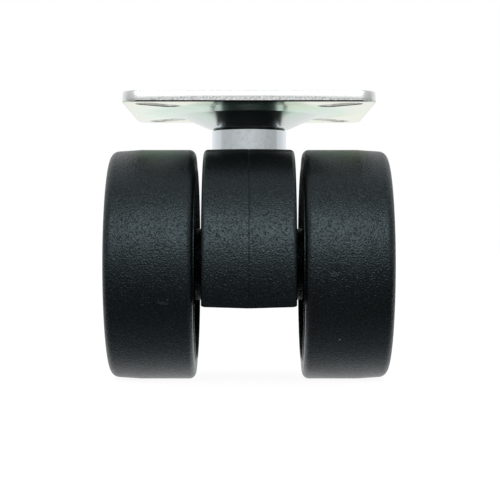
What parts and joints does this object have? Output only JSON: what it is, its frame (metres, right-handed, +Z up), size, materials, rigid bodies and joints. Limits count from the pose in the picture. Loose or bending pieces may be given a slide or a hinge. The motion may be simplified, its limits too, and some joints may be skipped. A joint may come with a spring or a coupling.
{
  "type": "twin-wheel plate caster",
  "caption": "Furniture swivel caster: dished square plate with slotted screw holes, collared pin, moulded drum housing and hard moulded wheels on a common axle.",
  "frame": {"origin": "on the swivel axis, in the plane of the plate's upper face", "axes": "+Z up out of the plate's upper face, X along the axle, -Y towards the trailing wheels"},
  "size_m": [0.06, 0.066, 0.0618],
  "materials": {
    "zinc_plated_steel": "satin",
    "bright_steel": "satin",
    "spring_steel": "satin",
    "black_nylon": "satin",
    "bearing_plastic": "satin"
  },
  "bodies": {
    "plate_body": {"top_plate": "zinc_plated_steel", "swivel_pin": "bright_steel", "king_washer": "zinc_plated_steel", "pin_retainer": "spring_steel"},
    "swivel_body": {"thrust_washer": "bearing_plastic", "housing": "black_nylon", "axle": "bright_steel", "axle_retainer_left": "spring_steel", "axle_retainer_right": "spring_steel"},
    "left_wheel": {"wheel_left": "black_nylon", "hub_cap_left": "black_nylon"},
    "right_wheel": {"wheel_right": "black_nylon", "hub_cap_right": "black_nylon"}
  },
  "joints": [
    {"name": "swivel", "type": "hinge", "parent": "plate_body", "child": "swivel_body", "pos_m": [0, 0, 0], "axis": [0, 0, 1], "continuous": true},
    {"name": "left_wheel_spin", "type": "hinge", "parent": "swivel_body", "child": "left_wheel", "pos_m": [0, -0.014, -0.0368], "axis": [1, 0, 0], "continuous": true},
    {"name": "right_wheel_spin", "type": "hinge", "parent": "swivel_body", "child": "right_wheel", "pos_m": [0, -0.014, -0.0368], "axis": [1, 0, 0], "continuous": true}
  ]
}
